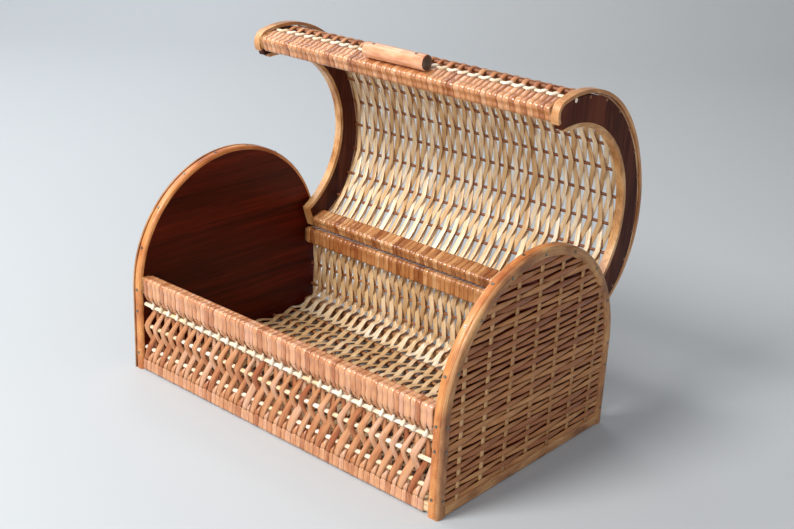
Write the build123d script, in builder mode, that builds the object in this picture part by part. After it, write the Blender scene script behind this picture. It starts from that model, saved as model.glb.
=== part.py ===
from build123d import *
import math
import os

os.makedirs("parts", exist_ok=True)

# ---------------------------------------------------------------- driving dimensions, millimetres
# End panels: straight sides under a half-round arch.
inner_length = 379.6
half_inner = inner_length / 2
board_thickness = 9.0
arch_radius = 125.0
arch_spring_z = 87.0
edge_cane_thickness = 4.0
edge_cane_round = 3.2
face_cane_width = 10.0
face_cane_thickness = 3.6
face_cane_round = 3.0
end_weave_thickness = 3.4
fit_gap = 0.1

# Rails and battens of the box.  Each wrap is a sleeve of split cane round its rail.
wrap_thickness = 1.5
wrap_corner = 2.4
core_corner = 1.2
front_face_y = -124.0
front_rail_depth = 12.5
front_top_z = (82.5, 102.5)
front_bottom_z = (1.0, 13.0)
rear_rail_y = (105.0, 124.0)
rear_top_z = (82.5, 100.5)
step_batten_y = (108.0, 122.0)
step_batten_z = (2.0, 13.5)

# Woven walls and floor: strands over and under round reeds.
reed_radius = 2.1
strand_thickness = 2.5
weave_half = reed_radius + strand_thickness
fine_reed_radius = 1.6
fine_strand_thickness = 2.0
fine_weave_half = fine_reed_radius + fine_strand_thickness
front_weave_y = -118.0
front_reed_z = (71.5, 49.0, 24.0)
back_weave_y = 118.6
back_reed_z = (79.5, 54.0, 28.5)
floor_weave_z = 6.0
floor_reed_count = 8
floor_y = (-111.0, 99.0)
floor_slope_top = (107.4, 17.4)
floor_slope_foot_y = 92.0

# Lid: drawn shut, in the lid frame below, and stood open at rest.
hinge_y = 112.9
hinge_z = 111.5
open_angle = 68.7
lid_half = 186.0
cheek_thickness = 8.0
lid_seat_z = 103.0
lid_mid_y = -0.75
lid_half_depth = 119.35
lid_rise = 109.75
lid_squareness = 2.15
lid_spline_step = 6
lid_spacing_steps = 720
lid_rail_height = 19.6
lid_front_rail_depth = 15.0
lid_rear_rail_depth = 12.5
lid_reed_count = 11
lid_tied_reed_run = 8.0
lid_tied_reed_inset = 3.6
lid_skin_inset = weave_half - fine_weave_half
cheek_inset = 2.0
cheek_rise_inset = 4.9
cheek_toe = 3.3
cheek_bore_radius = 98.7
cheek_bore_z = 90.3
cheek_nose_radius = 9.0
cheek_chin_radius = 5.5
inner_cane_thickness = 4.0
lid_cane_thickness = 3.3
lid_cane_gap = 0.5
lid_cane_rear_z = 108.0

# Handle, nails and hinge pins.
handle_radius = 7.75
handle_length = 74.0
handle_height = 12.5
handle_bevel = 1.0
handle_nail_reach = 26.0
nail_shank_radius = 0.7
nail_head_radius = 1.4
nail_head_thickness = 0.5
nail_bite = 5.0
nail_spacing = 46.0
pin_radius = 1.5
pin_head_radius = 3.0
pin_head_thickness = 1.2
pin_running_gap = 0.08
pin_reach = 6.5

outer_face_x = half_inner + board_thickness
lid_inner_half = lid_half - cheek_thickness
lid_clear_width = 4 * lid_half_depth

# The lid frame: its own x and y are the box's Y and Z when the lid is shut.
opening = math.radians(open_angle)
lid_frame_y = hinge_y - hinge_y * math.cos(opening) - hinge_z * math.sin(opening)
lid_frame_z = hinge_z + hinge_y * math.sin(opening) - hinge_z * math.cos(opening)
lid_frame = Plane(
    origin=(0, lid_frame_y, lid_frame_z),
    x_dir=(0, math.cos(opening), -math.sin(opening)),
    z_dir=(1, 0, 0),
)


# ---------------------------------------------------------------- shared outlines
def draw_arch(inset, foot_z):
    """Draw the end panel's outline as the active line: two straight sides and a half-round top."""
    radius = arch_radius - inset
    Line((-radius, arch_spring_z), (-radius, foot_z))
    Line((-radius, foot_z), (radius, foot_z))
    Line((radius, foot_z), (radius, arch_spring_z))
    ThreePointArc((radius, arch_spring_z), (0, arch_spring_z + radius), (-radius, arch_spring_z))


def lid_point(turn, half_depth, rise):
    """Return a point of the lid's arch, a superellipse, at a turn of 0 (rear) to 180 (front)."""
    across = math.cos(math.radians(turn))
    up = math.sin(math.radians(turn))
    power = 2 / lid_squareness
    y = lid_mid_y + half_depth * math.copysign(abs(across) ** power, across)
    z = lid_seat_z + rise * abs(up) ** power
    return (y, z)


def draw_lid_arch(inset, rise_inset):
    """Draw a lid arch set in from the skin's outside, closed along the lid's seat."""
    half_depth = lid_half_depth - inset
    rise = lid_rise - rise_inset
    points = [lid_point(turn, half_depth, rise) for turn in range(0, 181, lid_spline_step)]
    Spline(*points, tangents=((0, 1), (0, -1)))
    Line(points[-1], points[0])


def spaced_lid_points(count, inset):
    """Return points at equal steps along a lid arch, the first one moved off the front rail."""
    half_depth = lid_half_depth - inset
    rise = lid_rise - inset
    turns = [180 * step / lid_spacing_steps for step in range(lid_spacing_steps + 1)]
    points = [lid_point(turn, half_depth, rise) for turn in turns]
    points = [p for p in points if p[1] > lid_seat_z + lid_rail_height]
    run = [0.0]
    for start, end in zip(points, points[1:]):
        run.append(run[-1] + math.dist(start, end))
    first = reed_radius + fit_gap
    step = (run[-1] - first) / count
    wanted = [run[-1] - first - step * index for index in range(count)]
    wanted[0] = run[-1] - lid_tied_reed_run
    return [points[min(range(len(run)), key=lambda i: abs(run[i] - place))] for place in wanted]


def draw_lid_reeds(mode):
    """Draw the section of every lid reed.  The tied reed by the front rail is the thick one."""
    with Locations(lid_reed_places[0]):
        Circle(reed_radius, mode=mode)
    with Locations(*lid_reed_places[1:]):
        Circle(fine_reed_radius, mode=mode)


def arch_nail_places(inset):
    """Return (y, z, outward angle) for nails at about equal steps along an arch and its sides."""
    radius = arch_radius - inset
    rows = round(arch_spring_z / nail_spacing)
    lower = [arch_spring_z - nail_spacing * (row + 0.5) for row in range(rows)]
    places = [(-radius, z, 180.0) for z in lower] + [(radius, z, 0.0) for z in lower]
    count = round(math.pi * radius / nail_spacing)
    for index in range(count + 1):
        turn = 180.0 * index / count
        y = radius * math.cos(math.radians(turn))
        z = arch_spring_z + radius * math.sin(math.radians(turn))
        places.append((y, z, turn))
    return places


lid_reed_places = spaced_lid_points(lid_reed_count, weave_half)
lid_reed_places[0] = spaced_lid_points(lid_reed_count, lid_tied_reed_inset)[0]
floor_step = (floor_y[1] - floor_y[0]) / floor_reed_count
floor_reed_y = [floor_y[0] + floor_step * (index + 0.5) for index in range(floor_reed_count)]


# ---------------------------------------------------------------- end panels
spring_plane = Plane.XY.offset(arch_spring_z)
bend_axis = Axis((0, 0, arch_spring_z), (-1, 0, 0))
for side, sign in (("left", -1), ("right", 1)):
    inner_plane = Plane.YZ.offset(sign * half_inner)
    outer_plane = Plane.YZ.offset(sign * outer_face_x)

    # Plywood board, bored for the hinge pin, with a recess for the pin's head.
    with BuildPart() as end_board:
        with BuildSketch(inner_plane):
            with BuildLine():
                draw_arch(edge_cane_thickness, 0)
            make_face()
            with Locations((hinge_y, hinge_z)):
                Circle(pin_radius, mode=Mode.SUBTRACT)
        extrude(amount=sign * board_thickness)
        with BuildSketch(outer_plane):
            with Locations((hinge_y, hinge_z)):
                Circle(pin_head_radius)
        extrude(amount=-sign * pin_head_thickness, mode=Mode.SUBTRACT)
    end_board.part.label = f"{side}_end_board"
    export_step(end_board.part, f"parts/{side}_end_board.step")

    # Half-round cane bent over the board's edge: a leg and a quarter turn, then their mirror.
    with BuildPart() as edge_cane:
        with BuildSketch(spring_plane) as edge_section:
            centre_x = sign * (half_inner + board_thickness / 2)
            with Locations((centre_x, -arch_radius + edge_cane_thickness / 2)):
                Rectangle(board_thickness, edge_cane_thickness)
            fillet(edge_section.vertices().group_by(Axis.Y)[0], edge_cane_round)
        extrude(amount=-arch_spring_z)
        revolve(edge_section.sketch, axis=bend_axis, revolution_arc=90)
        mirror(about=Plane.XZ)
    edge_cane.part.label = f"{side}_edge_cane"
    export_step(edge_cane.part, f"parts/{side}_edge_cane.step")

    # Half-round cane on the board's outer face, round the arch and down both sides.
    with BuildPart() as face_cane:
        with BuildSketch(spring_plane) as face_section:
            centre_x = sign * (outer_face_x + face_cane_thickness / 2)
            with Locations((centre_x, -arch_radius + face_cane_width / 2)):
                Rectangle(face_cane_thickness, face_cane_width)
            outer_corners = face_section.vertices().group_by(Axis.X)[-1 if sign > 0 else 0]
            fillet(outer_corners, face_cane_round)
        extrude(amount=-arch_spring_z)
        revolve(face_section.sketch, axis=bend_axis, revolution_arc=90)
        mirror(about=Plane.XZ)
    face_cane.part.label = f"{side}_face_cane"
    export_step(face_cane.part, f"parts/{side}_face_cane.step")

    # Straight cane along the foot of the outer face, between the two legs of the face cane.
    with BuildPart() as foot_cane:
        with BuildSketch(Plane.XZ) as foot_section:
            centre_x = sign * (outer_face_x + face_cane_thickness / 2)
            with Locations((centre_x, face_cane_width / 2)):
                Rectangle(face_cane_thickness, face_cane_width)
            outer_corners = foot_section.vertices().group_by(Axis.X)[-1 if sign > 0 else 0]
            fillet(outer_corners, face_cane_round)
        extrude(amount=arch_radius - face_cane_width - fit_gap, both=True)
    foot_cane.part.label = f"{side}_foot_cane"
    export_step(foot_cane.part, f"parts/{side}_foot_cane.step")

    # Woven infill inside the face cane: a soft sheet with the true outline and thickness.
    with BuildPart() as end_weave:
        with BuildSketch(outer_plane):
            with BuildLine():
                draw_arch(face_cane_width + fit_gap, face_cane_width + fit_gap)
            make_face()
        extrude(amount=sign * end_weave_thickness)
    end_weave.part.label = f"{side}_end_weave"
    export_step(end_weave.part, f"parts/{side}_end_weave.step")

    # Nails through both canes into the board.
    edge_x = sign * (half_inner + board_thickness / 2)
    face_x = sign * (outer_face_x + face_cane_thickness)
    nail_planes = []
    for y, z, turn in arch_nail_places(0):
        outward = (0, math.cos(math.radians(turn)), math.sin(math.radians(turn)))
        nail_planes.append(Plane(origin=(edge_x, y, z), z_dir=outward))
    for y, z, turn in arch_nail_places(face_cane_width / 2):
        nail_planes.append(Plane(origin=(face_x, y, z), z_dir=(sign, 0, 0)))
    with BuildPart() as cane_nails:
        with Locations(*nail_planes):
            Cylinder(nail_head_radius, nail_head_thickness, align=(Align.CENTER, Align.CENTER, Align.MIN))
            Cylinder(nail_shank_radius, nail_bite, align=(Align.CENTER, Align.CENTER, Align.MAX))
    cane_nails.part.label = f"{side}_cane_nails"
    export_step(cane_nails.part, f"parts/{side}_cane_nails.step")


# ---------------------------------------------------------------- wrapped rails of the box and lid
box_plane = Plane.YZ
front_rail_y = (front_face_y, front_face_y + front_rail_depth)
lid_front_y = lid_mid_y - lid_half_depth
lid_rear_y = lid_mid_y + lid_half_depth
lid_rail_z = (lid_seat_z, lid_seat_z + lid_rail_height)
lid_front_rail_y = (lid_front_y, lid_front_y + lid_front_rail_depth)
lid_rear_rail_y = (lid_rear_y - lid_rear_rail_depth, lid_rear_y)

wrapped_rails = (
    ("front_top", box_plane, front_rail_y, front_top_z, half_inner),
    ("front_bottom", box_plane, front_rail_y, front_bottom_z, half_inner),
    ("rear_top", box_plane, rear_rail_y, rear_top_z, half_inner),
    ("lid_front", lid_frame, lid_front_rail_y, lid_rail_z, lid_inner_half),
    ("lid_rear", lid_frame, lid_rear_rail_y, lid_rail_z, lid_inner_half),
)
for rail_name, plane, rail_y, rail_z, half_length in wrapped_rails:
    centre = (sum(rail_y) / 2, sum(rail_z) / 2)
    depth = rail_y[1] - rail_y[0]
    height = rail_z[1] - rail_z[0]
    core_depth = depth - 2 * wrap_thickness
    core_height = height - 2 * wrap_thickness

    # Wooden rail.  The lid's rear rail is bored at both ends for the hinge pins.
    with BuildPart() as rail:
        with BuildSketch(plane):
            with Locations(centre):
                RectangleRounded(core_depth, core_height, core_corner)
        extrude(amount=half_length, both=True)
        if rail_name == "lid_rear":
            for end in (-1, 1):
                with BuildSketch(plane.offset(end * half_length)):
                    with Locations((hinge_y, hinge_z)):
                        Circle(pin_radius + pin_running_gap)
                extrude(amount=-end * (pin_reach + fit_gap), mode=Mode.SUBTRACT)
    rail.part.label = f"{rail_name}_rail"
    export_step(rail.part, f"parts/{rail_name}_rail.step")

    # Split cane wound round the rail, as one soft sleeve.
    with BuildPart() as wrap:
        with BuildSketch(plane):
            with Locations(centre):
                RectangleRounded(depth, height, wrap_corner)
                RectangleRounded(core_depth, core_height, core_corner, mode=Mode.SUBTRACT)
        extrude(amount=half_length, both=True)
    wrap.part.label = f"{rail_name}_wrap"
    export_step(wrap.part, f"parts/{rail_name}_wrap.step")


# ---------------------------------------------------------------- batten, walls and floor of the box
# Bare batten along the bottom of the back wall: the strands bend forward over it.
with BuildPart() as step_batten:
    with BuildSketch(Plane.YZ):
        with Locations((sum(step_batten_y) / 2, sum(step_batten_z) / 2)):
            RectangleRounded(
                step_batten_y[1] - step_batten_y[0],
                step_batten_z[1] - step_batten_z[0],
                core_corner,
            )
    extrude(amount=half_inner, both=True)
step_batten.part.label = "step_batten"
export_step(step_batten.part, "parts/step_batten.step")

front_reed_places = [(front_weave_y, z) for z in front_reed_z]
back_reed_places = [(back_weave_y, z) for z in back_reed_z]
floor_reed_places = [(y, floor_weave_z) for y in floor_reed_y]

# Round reeds, each a rod from end board to end board.
with BuildPart() as front_reeds:
    with BuildSketch(Plane.YZ):
        with Locations(*front_reed_places):
            Circle(reed_radius)
    extrude(amount=half_inner, both=True)
front_reeds.part.label = "front_reeds"
export_step(front_reeds.part, "parts/front_reeds.step")

with BuildPart() as back_reeds:
    with BuildSketch(Plane.YZ):
        with Locations(*back_reed_places):
            Circle(fine_reed_radius)
    extrude(amount=half_inner, both=True)
back_reeds.part.label = "back_reeds"
export_step(back_reeds.part, "parts/back_reeds.step")

with BuildPart() as floor_reeds:
    with BuildSketch(Plane.YZ):
        with Locations(*floor_reed_places):
            Circle(fine_reed_radius)
    extrude(amount=half_inner, both=True)
floor_reeds.part.label = "floor_reeds"
export_step(floor_reeds.part, "parts/floor_reeds.step")

# Woven strands, as soft sheets that the reeds run through.
with BuildPart() as front_weave:
    with BuildSketch(Plane.YZ):
        wall_foot = front_bottom_z[1] + fit_gap
        wall_height = front_top_z[0] - fit_gap - wall_foot
        with Locations((front_weave_y, wall_foot + wall_height / 2)):
            Rectangle(2 * weave_half, wall_height)
        with Locations(*front_reed_places):
            Circle(reed_radius, mode=Mode.SUBTRACT)
    extrude(amount=half_inner, both=True)
front_weave.part.label = "front_weave"
export_step(front_weave.part, "parts/front_weave.step")

with BuildPart() as back_weave:
    with BuildSketch(Plane.YZ):
        wall_foot = step_batten_z[1] + fit_gap
        wall_height = rear_top_z[0] - fit_gap - wall_foot
        with Locations((back_weave_y, wall_foot + wall_height / 2)):
            Rectangle(2 * fine_weave_half, wall_height)
        with Locations(*back_reed_places):
            Circle(fine_reed_radius, mode=Mode.SUBTRACT)
    extrude(amount=half_inner, both=True)
back_weave.part.label = "back_weave"
export_step(back_weave.part, "parts/back_weave.step")

# The floor's strands climb over the batten's top edge, which makes the step inside the box.
with BuildPart() as floor_weave:
    with BuildSketch(Plane.YZ):
        with BuildLine():
            Polyline(
                (front_rail_y[1] + fit_gap, floor_weave_z - fine_weave_half),
                (step_batten_y[0] - fit_gap, floor_weave_z - fine_weave_half),
                (step_batten_y[0] - fit_gap, step_batten_z[1] + fit_gap),
                (back_weave_y - fine_weave_half - fit_gap, step_batten_z[1] + fit_gap),
                (back_weave_y - fine_weave_half - fit_gap, floor_slope_top[1]),
                floor_slope_top,
                (floor_slope_foot_y, floor_weave_z + fine_weave_half),
                (front_rail_y[1] + fit_gap, floor_weave_z + fine_weave_half),
                close=True,
            )
        make_face()
        with Locations(*floor_reed_places):
            Circle(fine_reed_radius, mode=Mode.SUBTRACT)
    extrude(amount=half_inner, both=True)
floor_weave.part.label = "floor_weave"
export_step(floor_weave.part, "parts/floor_weave.step")


# ---------------------------------------------------------------- lid
with BuildPart() as lid_reeds:
    with BuildSketch(lid_frame):
        draw_lid_reeds(Mode.ADD)
    extrude(amount=lid_half, both=True)
lid_reeds.part.label = "lid_reeds"
export_step(lid_reeds.part, "parts/lid_reeds.step")

# Domed skin from rail top to rail top, between the cheeks.
with BuildPart() as lid_weave:
    with BuildSketch(lid_frame):
        with BuildLine():
            draw_lid_arch(lid_skin_inset, lid_skin_inset)
        make_face()
        with BuildLine():
            skin_inner_inset = lid_skin_inset + 2 * fine_weave_half
            draw_lid_arch(skin_inner_inset, skin_inner_inset)
        make_face(mode=Mode.SUBTRACT)
        with Locations((lid_mid_y, lid_seat_z)):
            Rectangle(lid_clear_width, 2 * (lid_rail_height + fit_gap), mode=Mode.SUBTRACT)
        draw_lid_reeds(Mode.SUBTRACT)
    extrude(amount=lid_inner_half - fit_gap, both=True)
lid_weave.part.label = "lid_weave"
export_step(lid_weave.part, "parts/lid_weave.step")

for side, sign in (("left", -1), ("right", 1)):
    cheek_plane = lid_frame.offset(sign * lid_inner_half)

    # Crescent board with a rounded nose, notched for the reed ends and bored for the hinge pin.
    with BuildPart() as cheek:
        with BuildSketch(cheek_plane) as crescent:
            with BuildLine():
                draw_lid_arch(cheek_inset, cheek_rise_inset)
            make_face()
            with Locations((lid_mid_y, cheek_bore_z)):
                Circle(cheek_bore_radius, mode=Mode.SUBTRACT)
            with Locations((lid_mid_y, lid_seat_z)):
                Rectangle(lid_clear_width, 2 * cheek_toe, mode=Mode.SUBTRACT)
            toe_corners = crescent.vertices().group_by(Axis.Y)[0].sort_by(Axis.X)
            fillet(toe_corners[0], cheek_nose_radius)
            fillet(toe_corners[1], cheek_chin_radius)
            fillet(toe_corners[-1], core_corner)
            draw_lid_reeds(Mode.SUBTRACT)
            with Locations((hinge_y, hinge_z)):
                Circle(pin_radius + pin_running_gap, mode=Mode.SUBTRACT)
        extrude(amount=sign * cheek_thickness)
    cheek.part.label = f"lid_{side}_cheek"
    export_step(cheek.part, f"parts/lid_{side}_cheek.step")

    # Cane along the cheek's hollow edge, turned under its rear end.
    with BuildPart() as inner_cane:
        with BuildSketch(cheek_plane):
            with Locations((lid_mid_y, cheek_bore_z)):
                Circle(cheek_bore_radius - fit_gap)
                Circle(cheek_bore_radius - inner_cane_thickness, mode=Mode.SUBTRACT)
            for foot_y, foot_z, toward in (
                (lid_mid_y, lid_seat_z + cheek_toe + cheek_chin_radius, Align.MAX),
                (lid_mid_y, lid_seat_z, Align.MIN),
            ):
                with Locations((foot_y, foot_z)):
                    Rectangle(lid_half_depth, 2 * lid_rise, align=(toward, Align.MAX), mode=Mode.SUBTRACT)
            inner_foot_y = lid_mid_y + cheek_bore_radius - inner_cane_thickness
            with Locations((inner_foot_y, lid_seat_z)):
                Rectangle(
                    lid_rear_y - cheek_inset - inner_foot_y,
                    cheek_toe - fit_gap,
                    align=(Align.MIN, Align.MIN),
                )
        extrude(amount=sign * cheek_thickness)
    inner_cane.part.label = f"lid_{side}_inner_cane"
    export_step(inner_cane.part, f"parts/lid_{side}_inner_cane.step")

    # Cane over the ends of the woven skin, turned round the cheek's nose at the front.
    with BuildPart() as outer_cane:
        with BuildSketch(cheek_plane):
            with BuildSketch(Plane.XY) as cane_outside:
                with BuildLine():
                    draw_lid_arch(cheek_inset - lid_cane_gap - lid_cane_thickness, -lid_cane_thickness)
                make_face()
                fillet(
                    cane_outside.vertices().sort_by(Axis.X)[0],
                    cheek_nose_radius + lid_cane_gap + lid_cane_thickness,
                )
            with BuildSketch(Plane.XY, mode=Mode.SUBTRACT) as cane_inside:
                with BuildLine():
                    draw_lid_arch(cheek_inset - lid_cane_gap, 0)
                make_face()
                with Locations((lid_mid_y, lid_seat_z)):
                    Rectangle(lid_clear_width, 2 * (cheek_toe - fit_gap), mode=Mode.SUBTRACT)
                fillet(
                    cane_inside.vertices().group_by(Axis.Y)[0].sort_by(Axis.X)[0],
                    cheek_nose_radius + lid_cane_gap,
                )
            with Locations((lid_rear_y, lid_seat_z)):
                Rectangle(
                    lid_half_depth,
                    2 * (lid_cane_rear_z - lid_seat_z),
                    mode=Mode.SUBTRACT,
                )
            with Locations((lid_mid_y - cheek_bore_radius - cheek_chin_radius, lid_seat_z)):
                Rectangle(
                    lid_clear_width,
                    2 * cheek_toe,
                    align=(Align.MIN, Align.CENTER),
                    mode=Mode.SUBTRACT,
                )
            draw_lid_reeds(Mode.SUBTRACT)
        extrude(amount=sign * cheek_thickness)
    outer_cane.part.label = f"lid_{side}_outer_cane"
    export_step(outer_cane.part, f"parts/lid_{side}_outer_cane.step")


# ---------------------------------------------------------------- handle and fasteners
# Short rattan stick nailed along the lid's front rail.
with BuildPart() as handle:
    with BuildSketch(lid_frame):
        with Locations((lid_front_y - handle_radius, lid_seat_z + handle_height)):
            Circle(handle_radius)
    extrude(amount=handle_length / 2, both=True)
    chamfer(handle.edges().filter_by(GeomType.CIRCLE), handle_bevel)
handle.part.label = "handle"
export_step(handle.part, "parts/handle.step")

# Two nails driven through the handle into the front rail.
with BuildPart() as handle_nails:
    for end in (-1, 1):
        nail_axis = Plane(
            origin=lid_frame.from_local_coords(
                (lid_front_y - 2 * handle_radius, lid_seat_z + handle_height, end * handle_nail_reach)
            ),
            z_dir=-lid_frame.x_dir,
        )
        with Locations(nail_axis):
            Cylinder(nail_head_radius, nail_head_thickness, align=(Align.CENTER, Align.CENTER, Align.MIN))
            Cylinder(
                nail_shank_radius,
                2 * handle_radius + nail_bite,
                align=(Align.CENTER, Align.CENTER, Align.MAX),
            )
handle_nails.part.label = "handle_nails"
export_step(handle_nails.part, "parts/handle_nails.step")

# Hinge pins: headed nails held in the end boards, turning free in the lid.
with BuildPart() as hinge_pins:
    for end in (-1, 1):
        with BuildSketch(Plane.YZ.offset(end * outer_face_x)):
            with Locations((hinge_y, hinge_z)):
                Circle(pin_head_radius)
        extrude(amount=-end * pin_head_thickness)
        with BuildSketch(Plane.YZ.offset(end * outer_face_x)):
            with Locations((hinge_y, hinge_z)):
                Circle(pin_radius)
        extrude(amount=-end * (outer_face_x - lid_inner_half + pin_reach))
hinge_pins.part.label = "hinge_pins"
export_step(hinge_pins.part, "parts/hinge_pins.step")
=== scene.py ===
import math
from collections import namedtuple

import bpy
import numpy as np
from mathutils import Matrix, Vector


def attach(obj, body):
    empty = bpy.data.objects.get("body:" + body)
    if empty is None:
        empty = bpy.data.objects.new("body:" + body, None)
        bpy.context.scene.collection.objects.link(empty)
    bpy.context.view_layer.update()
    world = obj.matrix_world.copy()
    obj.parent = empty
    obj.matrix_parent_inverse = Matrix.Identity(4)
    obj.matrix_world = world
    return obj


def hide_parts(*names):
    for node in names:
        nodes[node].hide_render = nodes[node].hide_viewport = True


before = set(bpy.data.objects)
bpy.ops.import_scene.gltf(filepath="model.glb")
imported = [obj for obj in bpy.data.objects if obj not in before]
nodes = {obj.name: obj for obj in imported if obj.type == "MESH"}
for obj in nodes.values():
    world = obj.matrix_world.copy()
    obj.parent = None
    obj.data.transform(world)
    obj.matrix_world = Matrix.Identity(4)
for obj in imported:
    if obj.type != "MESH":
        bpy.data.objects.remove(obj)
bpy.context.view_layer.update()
chance = np.random.default_rng(20)

# ------------------------------------------------------------------ sizes, millimetres
MM = 0.001

# Reeds, strands and strips. A strand nests a little into the reed that it crosses.
REED_RADIUS = 2.1
FINE_REED_RADIUS = 1.6
STRAND_THICKNESS = 2.5
FINE_STRAND = 1.5
NESTING = .15
OVER = REED_RADIUS + STRAND_THICKNESS / 2 - NESTING
FINE_OVER = FINE_REED_RADIUS + FINE_STRAND / 2
STRIP_WIDTH = 5.95
STRIP_THICKNESS = 1.5

# Box: between the end boards, and the outer face of a board.
HALF_INNER = 189.8
OUTER_FACE = 198.8
WALL_PAIRS = 31

FRONT_WEAVE_Y = -118.0
FRONT_REED_Z = (24.0, 49.0, 71.5)
FRONT_RAIL_FACES = (-112.25, -123.25)
FRONT_RAIL_Y = -117.75
FRONT_FOOT_Z = 1.75
FRONT_TOP_Z = 101.55

# Back wall and floor. STEP_LINE and FLOOR_END are knots (y, z) over the batten and at the floor's end.
BACK_WEAVE_Y = 118.6
BACK_REED_Z = (79.5, 54.0, 28.5)
REAR_RAIL_FACES = (105.75, 123.25)
REAR_RAIL_Y = 114.5
REAR_TOP_Z = 99.75
STEP_LINE = [(117.0, 19.0), (112.8, 15.3), (107.6, 15.3), (103.4, 12.6), (96.5, 8.4)]

FLOOR_WEAVE_Z = 6.0
FLOOR_FRONT_Y = -111.0
FLOOR_BACK_Y = 99.0
FLOOR_REEDS = 8
FLOOR_END = [(-106.0, 5.4), (-111.2, 4.6)]

# Lid, as it lies shut. It stands open by OPENING about the hinge line, a (y, z) place.
HINGE = (112.9, 111.5)
OPENING = math.radians(68.7)
LID_PAIRS = 29
LID_INNER_HALF = 178.0
LID_SEAT_Z = 103.0
LID_MID_Y = -0.75
LID_HALF_DEPTH = 119.35
LID_RISE = 109.75
LID_POWER = 2 / 2.15
LID_REEDS = 11
LID_REED_INSET = 4.6
LID_RAIL_TOP = 122.6
LID_FRONT_FACES = (-105.85, -119.35)
LID_FRONT_RAIL_Y = -112.6
LID_REAR_FACES = (117.85, 106.85)
LID_REAR_RAIL_Y = 112.3
LID_RAIL_FOOT_Z = 104.0
LID_RAIL_MID_Z = 112.8
TIED_REED_RUN = 8.0
TIED_REED_LIFT = 1.0
TIED_REED_PALE = (3.0, 4.0)

# End panels: weavers swing in and out, and rise and fall, past upright stakes.
ARCH_SPRING_Z = 87.0
MEAN_ARCH_RADIUS = 120.0
END_WEAVE_RADIUS = 116.5
END_WEAVE_FOOT = 9.0
END_WEAVE_DEPTH = 1.75
END_ROWS = 33
END_ROW_STEP = 5.86
FIRST_ROW_LIFT = 3.0
WEAVER_SWING = 1.3
WEAVER_RISE = .9
WEAVER_HALF_WIDTH = 2.35
WEAVER_THICKNESS = 1.25
WANDER_SIZE = .55
WANDER_LENGTH = 37
END_STAKES = 7
END_STAKE_STEP = 33.0
STAKE_HALF_WIDTH = 2.6
STAKE_THICKNESS = 1.3
STAKE_SWAY = .8
STAKE_SWAY_LENGTH = 60

HANDLE_RADIUS = 7.75
HANDLE_HALF = 37.0
HANDLE_SHAFT_HALF = 34.0
HANDLE_Y = LID_MID_Y - LID_HALF_DEPTH - HANDLE_RADIUS
HANDLE_Z = 115.5

# Sections, as (across, up) from -1 to 1 and -0.5 to 0.5. The points at -0.5 are the split face's corners.
HALF_ROUND = np.array([
    (1, -.36), (.88, .12), (.42, .46), (-.42, .46),
    (-.88, .12), (-1, -.36), (-.9, -.5), (.9, -.5),
])
FLAT_STRIP = np.array([(1, -.5), (.985, .2), (.8, .44), (-.8, .44), (-.985, .2), (-1, -.5)])
SPLIT_FACE_UP = -.4
STRAND_NUMBER_STEP = 0.37

Surface = namedtuple("Surface", "points faces grain tone pith")


# ------------------------------------------------------------------ lines, sections and meshes
def stand_open(points):
    """Turn points of the shut lid back by OPENING about the hinge line."""
    y = points[..., 1] - HINGE[0]
    z = points[..., 2] - HINGE[1]
    c, s = math.cos(OPENING), math.sin(OPENING)
    return np.stack((points[..., 0], HINGE[0] + y * c + z * s, HINGE[1] - y * s + z * c), -1)


def write_piece(name, surface, body, finish, replaced=()):
    """Put a surface's points and four-sided faces into a mesh, with the attributes that its finish reads:
    grain is (metres along, metres across, own number), tone is 0 to 1 for each strip, and pith is 1 on a
    strip's split face, or on a stick's cut end, and 0 on its bark. The lid's pieces are drawn shut and
    stood open here."""
    points = stand_open(surface.points) if body == "lid" else surface.points
    faces = surface.faces
    mesh = bpy.data.meshes.new(name)
    places = points.reshape(-1, 3) * MM
    mesh.vertices.add(len(places))
    mesh.vertices.foreach_set("co", places.ravel())
    mesh.loops.add(faces.size)
    mesh.loops.foreach_set("vertex_index", faces.ravel().astype(np.int32))
    mesh.polygons.add(len(faces))
    mesh.polygons.foreach_set("loop_start", np.arange(0, faces.size, 4, dtype=np.int32))
    mesh.polygons.foreach_set("loop_total", np.full(len(faces), 4, dtype=np.int32))
    mesh.polygons.foreach_set("use_smooth", np.ones(len(faces), dtype=bool))
    mesh.update(calc_edges=True)
    grain = mesh.attributes.new("grain", "FLOAT_VECTOR", "POINT")
    grain.data.foreach_set("vector", surface.grain.reshape(-1))
    tone = mesh.attributes.new("tone", "FLOAT", "POINT")
    tone.data.foreach_set("value", surface.tone.reshape(-1))
    pith = mesh.attributes.new("pith", "FLOAT", "POINT")
    pith.data.foreach_set("value", surface.pith.reshape(-1))
    mesh.materials.append(finish)
    piece = bpy.data.objects.new(name, mesh)
    bpy.context.scene.collection.objects.link(piece)
    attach(piece, body)
    if replaced:
        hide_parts(*replaced)


def unit(vectors):
    return vectors / np.linalg.norm(vectors, axis=-1, keepdims=True)


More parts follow.
